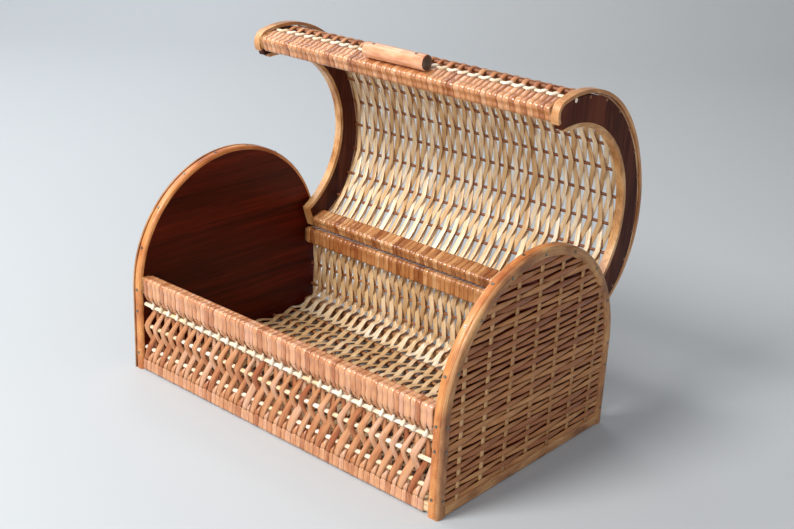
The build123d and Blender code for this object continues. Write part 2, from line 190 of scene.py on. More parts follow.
def line_through(knots, steps, straight=0.0):
    """Smooth lines through rows of knots. Each stretch is a cubic from knot to knot, and the slope at a
    knot is the mean of the slopes of its two stretches, each weighted by the length of the other.
    `straight` (0 to 1) pulls X towards plain straight stretches, which bend only at the knots."""
    gaps = np.linalg.norm(np.diff(knots, axis=1), axis=2, keepdims=True)
    slopes = np.diff(knots, axis=1) / gaps
    weighed = slopes[:, :-1] * gaps[:, 1:] + slopes[:, 1:] * gaps[:, :-1]
    inner = weighed / (gaps[:, 1:] + gaps[:, :-1])
    at_knots = np.concatenate((slopes[:, :1], inner, slopes[:, -1:]), axis=1)
    t = (np.arange(steps) / steps)[:, None]
    start, end = knots[:, :-1, None], knots[:, 1:, None]
    lead = (at_knots[:, :-1] * gaps)[:, :, None]
    tail = (at_knots[:, 1:] * gaps)[:, :, None]
    ease = t * t * (3 - 2 * t)
    curve = start * (1 - ease) + end * ease + lead * t * (1 - t) ** 2 - tail * t * t * (1 - t)
    plain = start * (1 - t) + end * t
    curve[..., 0] += straight * (plain - curve)[..., 0]
    return np.concatenate((curve.reshape(len(knots), -1, 3), knots[:, -1:]), axis=1)


def along_knots(values, steps):
    """Spread one value per knot over the stations of line_through, with straight runs between knots."""
    count = values.shape[1]
    stations = np.arange((count - 1) * steps + 1) / steps
    low = np.minimum(stations.astype(int), count - 2)
    part = stations - low
    return values[:, low] * (1 - part) + values[:, low + 1] * part


def frames_along(line, across):
    """Square frames along each line: side is `across` made square to the line, and out is side x along."""
    along = unit(np.gradient(line, axis=1))
    side = unit(across - (along * across).sum(-1, keepdims=True) * along)
    return side, np.cross(side, along)


def sweep(line, across_way, half_width, thickness, section, tone):
    """Carry a closed section along many lines at once, with side as near `across_way` as is square:
    point = line + side * half_width * section_across + out * thickness * section_up.
    Neighbouring rings are joined, and each end is closed with a strip of faces across its ring."""
    side, out = frames_along(line, np.array(across_way, dtype=float))
    return sweep_framed(line, side, out, half_width, thickness, section, tone)


def sweep_framed(line, side, out, half_width, thickness, section, tone):
    """The same as sweep, with the frames given."""
    strands, stations = line.shape[:2]
    around = len(section)
    across = half_width[..., None] * section[:, 0]
    up = thickness[..., None] * section[:, 1]
    points = line[:, :, None] + side[:, :, None] * across[..., None] + out[:, :, None] * up[..., None]
    first = (np.arange(strands * stations) * around).reshape(strands, stations)
    ring = np.arange(around)
    turned = np.roll(ring, -1)
    here, there = first[:, :-1, None], first[:, 1:, None]
    walls = np.stack(np.broadcast_arrays(here + ring, there + ring, there + turned, here + turned), -1)
    rung = np.arange(around // 2 - 1)
    cap = np.stack((rung, rung + 1, around - 2 - rung, around - 1 - rung), -1)
    heads = first[:, :1, None] + cap
    tails = first[:, -1:, None] + cap[:, ::-1]
    faces = np.concatenate((walls.reshape(-1, 4), heads.reshape(-1, 4), tails.reshape(-1, 4)))
    travelled = np.cumsum(np.linalg.norm(np.diff(line, axis=1), axis=2), axis=1)
    run = np.concatenate((np.zeros((strands, 1)), travelled), 1)
    number = np.arange(strands)[:, None, None] * STRAND_NUMBER_STEP
    grain = np.stack(np.broadcast_arrays(run[..., None] * MM, across * MM, number), -1)
    tones = np.broadcast_to(tone[:, None, None], across.shape).copy()
    pith = np.broadcast_to((section[:, 1] < SPLIT_FACE_UP).astype(float), across.shape).copy()
    return Surface(points, faces, grain, tones, pith)


# ------------------------------------------------------------------ finishes
# How fine a pattern's fibres are in each direction, per metre.
LENGTHWISE = (55, 2200, 2200)
FRONT_TO_BACK = (2200, 55, 2200)
COARSE = (20, 900, 900)


def tint(code):
    """Turn a six-figure display colour into the linear colour that a shader takes."""
    parts = [int(code[i:i + 2], 16) / 255 for i in (0, 2, 4)]
    return [p / 12.92 if p <= 0.04045 else ((p + 0.055) / 1.055) ** 2.4 for p in parts] + [1.0]


class Finish:
    """One node material. Each call adds a node and returns its output."""

    def __init__(self, name, coat=0.0, metallic=0.0):
        self.material = bpy.data.materials.new(name)
        self.material.use_nodes = True
        self.tree = self.material.node_tree
        self.shader = self.tree.nodes["Principled BSDF"]
        self.shader.inputs["Coat Weight"].default_value = coat
        self.shader.inputs["Coat Roughness"].default_value = 0.18
        self.shader.inputs["Specular IOR Level"].default_value = 0.35
        self.shader.inputs["Metallic"].default_value = metallic

    def add(self, kind, sockets=(), output=0, **settings):
        node = self.tree.nodes.new("ShaderNode" + kind)
        for key, value in settings.items():
            setattr(node, key, value)
        for key, value in dict(sockets).items():
            if isinstance(value, bpy.types.NodeSocket):
                self.tree.links.new(value, node.inputs[key])
            else:
                node.inputs[key].default_value = value
        return node.outputs[output]

    def place(self):
        """Object coordinates, in metres."""
        return self.add("TexCoord", output=3)

    def math(self, operation, first, second=0.0):
        return self.add("Math", {0: first, 1: second}, operation=operation)

    def stretched(self, vector, scale):
        return self.add("VectorMath", {0: vector, 1: scale}, operation="MULTIPLY")

    def moved(self, vector, centre):
        return self.add("VectorMath", {0: vector, 1: centre}, operation="SUBTRACT")

    def noise(self, vector, detail=3.0, rough=0.55):
        return self.add("TexNoise", {"Vector": vector, "Scale": 1.0, "Detail": detail, "Roughness": rough})

    def ramp(self, value, stops):
        """Colours by value, from (value, display colour) stops."""
        colour = self.add("ValToRGB", {"Fac": value})
        steps = colour.node.color_ramp.elements
        while len(steps) < len(stops):
            steps.new(0.5)
        for step, (place, code) in zip(steps, stops):
            step.position = place
            step.color = tint(code)
        return colour

    def mix(self, amount, first, second, blend="MIX"):
        return self.add("Mix", {0: amount, 6: first, 7: second}, 2, data_type="RGBA", blend_type=blend)

    def spread(self, value, low, high, start=0.3, end=0.7):
        """Map a value, from start to end, onto low to high."""
        return self.add("MapRange", {0: value, 1: start, 2: end, 3: low, 4: high})

    def finish(self, colour, rough, height=None, strength=0.3, distance=0.0003):
        self.tree.links.new(colour, self.shader.inputs["Base Color"])
        self.tree.links.new(rough, self.shader.inputs["Roughness"])
        if height is not None:
            bump = self.add("Bump", {"Height": height, "Strength": strength, "Distance": distance})
            self.tree.links.new(bump, self.shader.inputs["Normal"])
        return self.material


def strip_finish(name, bark, pith, rough=(0.3, 0.5), coat=0.25):
    """Varnished cane: fine fibres along each strip, its own tone, and a paler split face."""
    f = Finish(name, coat)
    grain = f.add("Attribute", output=1, attribute_name="grain")
    tone = f.add("Attribute", output=2, attribute_name="tone")
    split = f.add("Attribute", output=2, attribute_name="pith")
    fibre = f.noise(f.stretched(grain, (55, 2600, 1)), 4)
    cloud = f.noise(f.stretched(grain, (45, 160, 1)), 2)
    shade = f.math("ADD", tone, f.spread(cloud, -.22, .22))
    colour = f.mix(split, f.ramp(shade, bark), f.ramp(shade, pith))
    streaks = f.ramp(fibre, ((.34, "C9BBAA"), (.5, "FFFFFF"), (.72, "FFFFFF")))
    colour = f.mix(1.0, colour, streaks, "MULTIPLY")
    return f.finish(colour, f.spread(fibre, rough[1], rough[0]), fibre, .35, .00025)


def arch_coordinates(f, centre):
    """Fibres that follow an arch: (arc length at the mean radius, distance across in X, radius), about a
    centre in metres."""
    parts = f.add("SeparateXYZ", {0: f.moved(f.place(), centre)}).node.outputs
    angle = f.math("ARCTAN2", parts[2], parts[1])
    square = f.math("ADD", f.math("MULTIPLY", parts[1], parts[1]), f.math("MULTIPLY", parts[2], parts[2]))
    arc = f.math("MULTIPLY", angle, MEAN_ARCH_RADIUS * MM)
    return f.add("CombineXYZ", {0: arc, 1: parts[0], 2: f.math("SQRT", square)})


def cane_finish(name, stops, centre=None, fineness=LENGTHWISE, coat=0.25, rough=(0.3, 0.5)):
    """Solid cane: fine fibres along its length, slow clouds of tone, and darker flecks."""
    f = Finish(name, coat)
    where = f.place() if centre is None else arch_coordinates(f, centre)
    fibre = f.noise(f.stretched(where, fineness), 4)
    slow = tuple(min(value, 90) * .5 for value in fineness)
    cloud = f.noise(f.stretched(where, slow), 3)
    colour = f.ramp(f.spread(cloud, 0, 1, .32, .68), stops)
    flecks = f.ramp(fibre, ((.32, "A8927C"), (.48, "FFFFFF"), (.7, "FFFFFF")))
    colour = f.mix(1.0, colour, flecks, "MULTIPLY")
    return f.finish(colour, f.spread(fibre, rough[1], rough[0]), fibre, .3, .0003)


def board_finish(name, stops, fineness, rough=(0.3, 0.45)):
    """Varnished plywood: long fine grain and short dark pores."""
    f = Finish(name)
    f.shader.inputs["Specular IOR Level"].default_value = 0.15
    where = f.place()
    slow = f.noise(f.stretched(where, tuple(value * .12 for value in fineness)), 3)
    grain = f.noise(f.stretched(where, fineness), 5, .6)
    pores = f.noise(f.stretched(where, tuple(value * 2.6 for value in fineness)), 2)
    shade = f.math("ADD", f.math("MULTIPLY", slow, .55), f.math("MULTIPLY", grain, .45))
    colour = f.ramp(f.spread(shade, 0, 1, .38, .62), stops)
    colour = f.mix(1.0, colour, f.ramp(pores, ((.3, "A89488"), (.42, "FFFFFF"))), "MULTIPLY")
    return f.finish(colour, f.spread(grain, rough[1], rough[0]), grain, .2, .0002)


def nail_finish():
    """Bright nail heads, a little tarnished."""
    f = Finish("bright_nail", metallic=1.0)
    worn = f.noise(f.stretched(f.place(), (900, 900, 900)), 3)
    colour = f.ramp(worn, ((.35, "5C564E"), (.6, "9C968C")))
    return f.finish(colour, f.spread(worn, .5, .36), worn, .2, .0001)


def lid_reed_finish(centre):
    """Reeds in brown, painted shade for the shade between the strands, apart from the tied one, which is
    pale: pale near that reed's axis at `centre`.
    """
    f = Finish("lid_reed", .15)
    where = f.place()
    across = f.stretched(f.moved(where, centre), (0, 1, 1))
    away = f.add("VectorMath", {0: across}, 1, operation="LENGTH")
    fibre = f.noise(f.stretched(where, LENGTHWISE), 4)
    # painted shade: this brown stands in for the shade that falls on the reeds between the lid's strands
    painted_shade_brown = f.ramp(fibre, ((.3, "5E3420"), (.5, "8A5434"), (.7, "A06A46")))
    pale = f.ramp(fibre, ((.3, "E6CBA0"), (.5, "F3E0C4"), (.7, "FAF0DE")))
    colour = f.mix(f.spread(away, 1, 0, *(reach * MM for reach in TIED_REED_PALE)), painted_shade_brown, pale)
    return f.finish(colour, f.spread(fibre, .5, .35), fibre, .3, .0003)


# Strip finishes, each from the colours of its bark and of its split face.
PITH = ((.1, "CDA676"), (.5, "DDBA8A"), (.9, "EACFAA"))
# Painted light: the step's split faces are paler than PITH, for the lit strips over the batten.
STEP_PITH_PAINTED_LIT = ((.1, "E6C69A"), (.5, "F2DCB8"), (.9, "FAEEDA"))
# Painted light: the lid's split faces are paler than PITH, for the brightly lit inside of the lid.
LID_PITH_PAINTED_LIT = ((.1, "D2A874"), (.45, "E6C596"), (.8, "F2DAB4"), (1, "F8EAD0"))
GLOSSY = {"rough": (.24, .4), "coat": .8}
FRONT_BARK = ((.05, "9C5630"), (.35, "BC7E52"), (.65, "CC946A"), (.95, "D0A284"))
BACK_BARK = ((.05, "AE663A"), (.35, "CB8C5A"), (.65, "D89F6C"), (.95, "D8A47C"))
# Painted light: the step's bark is paler than BACK_BARK, for the lit strips over the batten.
STEP_BARK_PAINTED_LIT = ((.05, "C48C5C"), (.35, "DCAE7E"), (.65, "EAC79C"), (.95, "F2D8B4"))
LID_BARK = ((.05, "A8623A"), (.4, "C07A4A"), (.7, "CF8E5C"), (.95, "D69C6C"))
FRONT_WRAP = ((.05, "A8643A"), (.35, "C6865A"), (.7, "DAA074"), (.95, "D29A7A"))
REAR_WRAP = ((.05, "8A4C24"), (.35, "AE7040"), (.7, "C48A56"), (.95, "D8A676"))
LID_WRAP = ((.05, "9C5C34"), (.35, "BC7C4C"), (.7, "D09262"), (.95, "D4A078"))
TIE_BARK = ((.1, "EBD0A6"), (.5, "F5E3C8"), (.9, "FAEFDC"))
TIE_PITH = ((.1, "EBD0A6"), (.9, "FAEFDC"))
WEAVER_BARK = ((.0, "8A4E2C"), (.3, "9C5F38"), (.55, "A86C40"), (.8, "B47A48"), (1, "C08A58"))
WEAVER_PITH = ((.1, "9A7048"), (.9, "B98C5C"))
STAKE_BARK = ((.1, "9C6E46"), (.5, "B4875A"), (.9, "C89E70"))
STAKE_PITH = ((.1, "9C6E46"), (.9, "C89E70"))

strand_front = strip_finish("strand_front", FRONT_BARK, PITH)
strand_back = strip_finish("strand_back", BACK_BARK, PITH)
# The step's strands are the back strands, with a finish made paler as painted light.
strand_step_painted_lit = strip_finish("strand_step_painted_lit", STEP_BARK_PAINTED_LIT, STEP_PITH_PAINTED_LIT)
strand_lid = strip_finish("strand_lid", LID_BARK, LID_PITH_PAINTED_LIT)
wrap_pale = strip_finish("wrap_pale", FRONT_WRAP, PITH, **GLOSSY)
wrap_red = strip_finish("wrap_red", REAR_WRAP, PITH, **GLOSSY)
wrap_lid = strip_finish("wrap_lid", LID_WRAP, PITH, **GLOSSY)
tie_pale = strip_finish("tie_pale", TIE_BARK, TIE_PITH)
end_weaver = strip_finish("end_weaver", WEAVER_BARK, WEAVER_PITH, (.34, .54))
end_stake = strip_finish("end_stake", STAKE_BARK, STAKE_PITH, (.4, .6), .05)

# Solid pieces. Canes bent round an arch have fibres that follow it, about its centre in metres.
ARCH_CENTRE = (0.0, 0.0, ARCH_SPRING_Z * MM)
lid_centre = tuple(stand_open(np.array((0.0, LID_MID_Y, LID_SEAT_Z))) * MM)
EDGE = ((.1, "A85E2E"), (.5, "C67C44"), (.9, "D89658"))
FACE = ((.1, "8A5A38"), (.5, "AC784C"), (.9, "C0905E"))
OUTER = ((.1, "9C6438"), (.5, "BC824E"), (.9, "D29C6A"))
INNER = ((.1, "A8703E"), (.5, "CC965E"), (.9, "DCB080"))
BROWN_REED = ((.1, "7A4426"), (.5, "98603A"), (.9, "B07A4E"))
PALE_REED = ((.1, "EAD0A4"), (.5, "F5E3C8"), (.9, "FAF0DE"))
PALE_RAIL = ((.1, "C49468"), (.5, "DDB488"), (.9, "E8C8A0"))
BATTEN = ((.1, "94603A"), (.5, "B07C4E"), (.9, "C49464"))
BARE_RAIL = ((.1, "7A5230"), (.5, "94663C"), (.9, "A87848"))
END_BOARD = ((.1, "360600"), (.5, "480C01"), (.9, "5C1404"))
CHEEK_BOARD = ((.1, "38140A"), (.5, "4E200F"), (.9, "602C18"))

edge_cane = cane_finish("edge_cane", EDGE, ARCH_CENTRE)
face_cane = cane_finish("face_cane", FACE, ARCH_CENTRE, rough=(.36, .55), coat=.12)
foot_cane = cane_finish("foot_cane", FACE, None, FRONT_TO_BACK, rough=(.36, .55), coat=.12)
outer_cane = cane_finish("outer_cane", OUTER, lid_centre)
inner_cane = cane_finish("inner_cane", INNER, lid_centre)
brown_reed = cane_finish("brown_reed", BROWN_REED, None, LENGTHWISE)
pale_reed = cane_finish("pale_reed", PALE_REED, None, LENGTHWISE)
pale_rail = cane_finish("pale_rail", PALE_RAIL, None, COARSE, 0.0, (.5, .7))
batten_wood = cane_finish("batten_wood", BATTEN, None, COARSE, .1, (.45, .6))
bare_rail = cane_finish("bare_rail", BARE_RAIL, None, COARSE, 0.0, (.55, .75))
end_board = board_finish("end_board", END_BOARD, (260, 9, 320))
cheek_board = board_finish("cheek_board", CHEEK_BOARD, (260, 200, 14), (.45, .6))
nail_bright = nail_finish()

for side in ("left", "right"):
    for node, finish in (
        (f"{side}_end_board", end_board),
        (f"{side}_edge_cane", edge_cane),
        (f"{side}_face_cane", face_cane),
        (f"{side}_foot_cane", foot_cane),
        (f"{side}_cane_nails", nail_bright),
        (f"lid_{side}_cheek", cheek_board),
        (f"lid_{side}_inner_cane", inner_cane),
        (f"lid_{side}_outer_cane", outer_cane),
    ):
        nodes[node].data.materials[0] = finish
for node, finish in (
    ("front_top_rail", bare_rail),
    ("front_bottom_rail", pale_rail),
    ("rear_top_rail", bare_rail),
    ("lid_front_rail", bare_rail),
    ("lid_rear_rail", bare_rail),
    ("step_batten", batten_wood),
    ("front_reeds", pale_reed),
    ("back_reeds", brown_reed),
    ("floor_reeds", brown_reed),
    ("handle_nails", nail_bright),
    ("hinge_pins", nail_bright),
):
    nodes[node].data.materials[0] = finish


# ------------------------------------------------------------------ woven strands
# How much strands differ: a strip's edge, one knot sideways and a whole strand's lie, in millimetres,
# and its thickness, as a share.
EDGE_STRAY = .5
KNOT_STRAY = .12
LIE_STRAY = .06
THICKNESS_STRAY = .04
# How near the wall's end a strand's axis may lie, and how near the mean of its knots.
END_ROOM = 2.6
MEAN_ROOM = 1.2
# How straight strands run from knot to knot, seen from the front: 0 is a smooth curve, 1 is straight.
STRAIGHTNESS = .8


def strand_knots(profile, phases, pairs, half_length):
    """Knots of every strand of a wall. Strands come in pairs, a and b, one pair to each pitch of the
    length: x = (pair + phase at this knot) * pitch - half_length, and y, z from the profile. The strips
    of the first knot's row lie edge to edge, with edges that stray a little, and each strand keeps its
    strip's shift in x. A strand that would leave the wall is laid against its end, and one that is
    mostly outside is dropped. Returns the knots, and each strand's own width as a share of the mean."""
    pitch = 2 * half_length / pairs
    rows = []
    for (y, z), phase in zip(profile, phases):
        x = (np.arange(-1, pairs + 1)[:, None] + np.array(phase)) * pitch - half_length
        rows.append(np.stack((x, np.broadcast_to(y, x.shape), np.broadcast_to(z, x.shape)), -1))
    knots = np.stack(rows, 2).reshape(-1, len(profile), 3)
    middle = knots[..., 0].mean(1)
    knots = knots[np.abs(middle) < half_length - MEAN_ROOM]
    order = np.argsort(knots[:, 0, 0])
    placed = knots[order, 0, 0]
    half_strip = pitch / 4
    between = (placed[:-1] + placed[1:]) / 2
    edges = np.concatenate((placed[:1] - half_strip, between, placed[-1:] + half_strip))
    edges[1:-1] += chance.normal(0, EDGE_STRAY, len(placed) - 1)
    shift, own = np.empty((2, len(placed)))
    shift[order] = (edges[:-1] + edges[1:]) / 2 - placed
    own[order] = np.diff(edges) / (2 * half_strip)
    knots[..., 0] += shift[:, None] + chance.normal(0, KNOT_STRAY, knots.shape[:2])
    knots[..., 1:] += chance.normal(0, LIE_STRAY, (len(knots), 1, 2))
    limit = half_length - END_ROOM
    knots[..., 0] = np.clip(knots[..., 0], -limit, limit)
    return knots, own[:, None]


def weave(strands, widths, thicknesses, body, pieces, steps=5):
    """Build one wall's strands and hand them out as pieces, each a run of knots of the same strands:
    (first knot, last knot, section, name, slot, finish, replaced nodes)."""
    knots, own = strands
    line = line_through(knots, steps, STRAIGHTNESS)
    side, out = frames_along(line, np.array((1.0, 0, 0)))
    half_width = along_knots(np.broadcast_to(np.array(widths) / 2, knots.shape[:2]) * own, steps)
    thick = np.array(thicknesses) * chance.normal(1, THICKNESS_STRAY, own.shape)
    thickness = along_knots(np.broadcast_to(thick, knots.shape[:2]), steps)
    tone = chance.uniform(.1, .9, len(knots))
    for first, last, section, name, slot, finish, replaced in pieces:
        cut = slice(first * steps, last * steps + 1)
        run = (part[:, cut] for part in (line, side, out, half_width, thickness))
        write_piece(name, sweep_framed(*run, section, tone), body, finish, replaced)


def round_rail(faces, middle, edge, corner, crown=0.0):
    """Five knots (y, z) round the edge of a rail, from its first face to its second. `corner` is how far
    the bend reaches along y and z, its z below zero where the edge is a lower one, and `crown` is how
    far the middle stands past the edge."""
    first, second = faces
    inwards = math.copysign(corner[0], middle - first)
    return [
        (first, edge - corner[1]),
        (first + inwards, edge),
        (middle, edge + crown),
        (second - inwards, edge),
        (second, edge - corner[1]),
    ]


def zigzag(count, first, beside=.06):
    """Phases of the two strands of a pair at each reed. They meet at every reed, a with its own b and
    then with the next one, and the strand on the outside lies `beside` to the left of the other."""
    rows = []
    for k in range(count):
        a, b = (.25, .25) if k % 2 == 0 else (.75, -.25)
        shift = -beside if (k + first) % 2 == 0 else beside
        rows.append((a + shift, b - shift))
    return rows


def over_under(count, first, depth):
    """Depths of the two strands of a pair at each reed: one over, one under, turn about."""
    return [((depth, -depth) if (k + first) % 2 == 0 else (-depth, depth)) for k in range(count)]


def write_front():
    """Front wall: up round the bottom rail, over and under two reeds, behind the third, over the top rail."""
    inner, outer = FRONT_RAIL_FACES
    profile = [
        (inner, 10.8), (inner, 7.0),
        *round_rail((inner, outer), FRONT_RAIL_Y, FRONT_FOOT_Z, (.75, -.75)),
        (outer, 7.0), (outer, 10.6), (-123.1, 13.0),
    ]
    depths = ((-OVER, OVER), (OVER, -OVER), (-OVER, -OVER))
    profile += [(FRONT_WEAVE_Y - np.array(depth), z) for z, depth in zip(FRONT_REED_Z, depths)]
    profile += [
        (-123.1, 83.0), (outer, 85.4), (outer, 92.5),
        *round_rail((outer, inner), FRONT_RAIL_Y, FRONT_TOP_Z, (.85, .75), .05),
        (inner, 92.5), (inner, 84.0),
    ]
    phases = [(.82, .32)] * 10 + [(.66, .55), (.34, 1.24), (1.04, .84)] + [(1.19, .69)] * 10
    strips = [STRIP_WIDTH] * 9
    thin = [STRIP_THICKNESS] * 9
    weave(
        strand_knots(profile, phases, WALL_PAIRS, HALF_INNER),
        [*strips, 4.9, 6.9, 6.9, 4.2, 4.7, *strips],
        [*thin, 1.5, STRAND_THICKNESS, STRAND_THICKNESS, 2.0, 1.4, *thin],
        "box",
        (
            (0, 9, FLAT_STRIP, "front_bottom_strips", "split_cane", wrap_pale, ("front_bottom_wrap",)),
            (9, 13, HALF_ROUND, "front_strands", "strand", strand_front, ("front_weave",)),
            (13, 22, FLAT_STRIP, "front_top_strips", "split_cane", wrap_pale, ("front_top_wrap",)),
        ),
    )


def write_back_and_floor():
    """Back wall and floor: over the rear rail, down three reeds, forward over the batten, along the floor."""
    inner, outer = REAR_RAIL_FACES
    profile = [
        (inner, 83.6), (inner, 91.5),
        *round_rail((inner, outer), REAR_RAIL_Y, REAR_TOP_Z, (.75, .75)),
        (outer, 91.5), (122.9, 84.8),
    ]
    back_depths = over_under(3, 0, FINE_OVER)
    profile += [(BACK_WEAVE_Y + np.array(depth), z) for z, depth in zip(BACK_REED_Z, back_depths)]
    profile += STEP_LINE
    spacing = (FLOOR_BACK_Y - FLOOR_FRONT_Y) / FLOOR_REEDS
    for k, depth in enumerate(over_under(FLOOR_REEDS, 1, FINE_OVER)):
        profile.append((FLOOR_BACK_Y - spacing * (k + .5), FLOOR_WEAVE_Z - np.array(depth)))
    profile += FLOOR_END
    step_phases = [(.6, -.1)] + [(.69, -.19)] * 3 + [(.6, -.1)]
    phases = [(.5, 0.0)] * 9 + zigzag(3, 0) + step_phases + zigzag(FLOOR_REEDS, 1) + [(.46, .04)] * 2
    widths = [STRIP_WIDTH] * 9 + [5.8] * 3 + [5.0, 4.1, 4.1, 4.1, 4.8] + [6.0] * FLOOR_REEDS + [6.0, 5.6]
    weave(
        strand_knots(profile, phases, WALL_PAIRS, HALF_INNER),
        widths,
        [STRIP_THICKNESS] * 9 + [FINE_STRAND] * (len(profile) - 9),
        "box",
        (
            (0, 8, FLAT_STRIP, "rear_top_strips", "split_cane", wrap_red, ("rear_top_wrap",)),
            (8, 13, HALF_ROUND, "back_strands", "strand", strand_back, ("back_weave",)),
            # the step strands wear the back strands' finish made paler: painted light
            (13, 17, HALF_ROUND, "step_strands", "strand", strand_step_painted_lit, ()),
            (17, 26, HALF_ROUND, "floor_strands", "strand", strand_back, ("floor_weave",)),
        ),
    )


write_front()
write_back_and_floor()


# ------------------------------------------------------------------ lid
def lid_arch(turn, inset):
    """A point of the lid's arch, a superellipse: y = middle + a * |cos|^p, z = seat + b * |sin|^p."""
    c, s = np.cos(turn), np.sin(turn)
    y = LID_MID_Y + (LID_HALF_DEPTH - inset) * np.sign(c) * np.abs(c) ** LID_POWER
    z = LID_SEAT_Z + (LID_RISE - inset) * np.abs(s) ** LID_POWER
    return y, z


def lid_reed_places():
    """Places of the lid's reeds and the slopes of the arch there: evenly spaced along the arch between
    the rails, apart from the first, the tied one, which lies further along and a little proud."""
    y, z = lid_arch(np.linspace(0, math.pi, 721), LID_REED_INSET)
    kept = z > LID_RAIL_TOP
    y, z = y[kept][::-1], z[kept][::-1]
    run = np.concatenate(((0.0,), np.cumsum(np.hypot(np.diff(y), np.diff(z)))))
    first = REED_RADIUS + .1
    runs = first + (run[-1] - first) / LID_REEDS * np.arange(LID_REEDS)
    runs[0] = TIED_REED_RUN
    reed_y, reed_z = np.interp(runs, run, y), np.interp(runs, run, z)
    slope_y, slope_z = np.interp(runs, run, np.gradient(y, run)), np.interp(runs, run, np.gradient(z, run))
    reed_y[0] -= slope_z[0] * TIED_REED_LIFT
    reed_z[0] += slope_y[0] * TIED_REED_LIFT
    return reed_y, reed_z, slope_y, slope_z


def write_lid_skin(places):
    """Lid: round the front rail, under the tied reed, over and under the others, round the rear rail."""
    near, far = LID_FRONT_FACES
    profile = [
        (near, 121.2), (near, LID_RAIL_MID_Z),
        *round_rail((near, far), LID_FRONT_RAIL_Y, LID_RAIL_FOOT_Z, (.95, -1.0), -.05),
        (far, LID_RAIL_MID_Z), (-119.2, 121.2),
    ]
    tied_depth = -(REED_RADIUS + FINE_STRAND / 2)
    depths = [(tied_depth, tied_depth)] + over_under(LID_REEDS - 1, 0, FINE_OVER)
    for y, z, slope_y, slope_z, depth in zip(*places, depths):
        profile.append((y - slope_z * np.array(depth), z + slope_y * np.array(depth)))
    near, far = LID_REAR_FACES
    profile += [
        (near, 121.0), (near, LID_RAIL_MID_Z),
        *round_rail((near, far), LID_REAR_RAIL_Y, LID_RAIL_FOOT_Z, (.95, -1.0), -.05),
        (far, LID_RAIL_MID_Z), (far, 121.4),
    ]
    phases = [(.75, .25)] * 9 + [(.66, .34)] + zigzag(LID_REEDS - 1, 0) + [(.5, 0.0)] * 9
    end = 9 + LID_REEDS
    weave(
        strand_knots(profile, phases, LID_PAIRS, LID_INNER_HALF),
        [STRIP_WIDTH] * 8 + [5.4, 4.4] + [5.3] * (LID_REEDS - 1) + [STRIP_WIDTH] * 9,
        [STRIP_THICKNESS] * 9 + [FINE_STRAND] * LID_REEDS + [STRIP_THICKNESS] * 9,
        "lid",
        (
            (0, 8, FLAT_STRIP, "lid_front_strips", "split_cane", wrap_lid, ("lid_front_wrap",)),
            (8, end, HALF_ROUND, "lid_strands", "strand", strand_lid, ("lid_weave",)),
            (end, end + 8, FLAT_STRIP, "lid_rear_strips", "split_cane", wrap_red, ("lid_rear_wrap",)),
        ),
        steps=6,
    )


reed_places = lid_reed_places()
tied_reed = (reed_places[0][0], reed_places[1][0])
tied_centre = tuple(stand_open(np.array((0.0, *tied_reed))) * MM)
nodes["lid_reeds"].data.materials[0] = lid_reed_finish(tied_centre)
write_lid_skin(reed_places)

# ------------------------------------------------------------------ pale ties over the outermost reeds
# Along a tie, from under its reed to its tip: share of its reach, half width and thickness.
TIE_SHARE = np.array((-.3, -.12, .14, .5, .8, 1.0))
TIE_HALF_WIDTH = np.array((1.3, 1.9, 2.0, 1.5, .8, .2))
TIE_THICKNESS = np.array((1.0, 1.4, 1.6, 1.4, 1.0, .5))
FRONT_TIE_BOW = np.array((.6, 2.4, 3.2, 3.4, 4.2, 5.9))
LID_TIE_BOW = np.array((.6, 2.5, 3.5, 4.5, 4.8, 4.6))
TIE_STEPS = 3


def write_ties(name, half_length, pairs, phase, end_room, reed, reach, lean, bow, breadth, body):
    """Tapering ties, one to each pair of strands: each comes from under its reed, bulges over it, and
    narrows to a point beyond it. With t the share of its reach: x = place + lean * t, z = reed's height
    + reach * t, and y = reed's place - bow. Ties that reach downwards are listed from the tip, so that
    their bark faces out."""
    x = (np.arange(pairs) + phase) * (2 * half_length / pairs) - half_length
    x = x[x < half_length - end_room]
    count = len(x)
    x = x[:, None] + lean * TIE_SHARE + chance.normal(0, .3, (count, 1))
    z = reed[1] + reach * TIE_SHARE * chance.normal(1, .08, (count, 1))
    knots = np.stack((x, np.broadcast_to(reed[0] - bow, x.shape), z), -1)
    half_width = np.broadcast_to(TIE_HALF_WIDTH * breadth, x.shape)
    thickness = np.broadcast_to(TIE_THICKNESS, x.shape)
    if reach < 0:
        knots, half_width, thickness = knots[:, ::-1], half_width[:, ::-1], thickness[:, ::-1]
    tone = chance.uniform(.2, .9, count)
    line = line_through(knots, TIE_STEPS)
    half_width, thickness = along_knots(half_width, TIE_STEPS), along_knots(thickness, TIE_STEPS)
    surface = sweep(line, (1, 0, 0), half_width, thickness, HALF_ROUND, tone)
    write_piece(name, surface, body, tie_pale)


front_reed = (FRONT_WEAVE_Y, FRONT_REED_Z[2])
write_ties("front_ties", HALF_INNER, WALL_PAIRS, 1.12, 4, front_reed, 8.6, 4.6, FRONT_TIE_BOW, 1.05, "box")
write_ties("lid_ties", LID_INNER_HALF, LID_PAIRS, .98, 3, tied_reed, -13.0, -2.2, LID_TIE_BOW, 1.35, "lid")


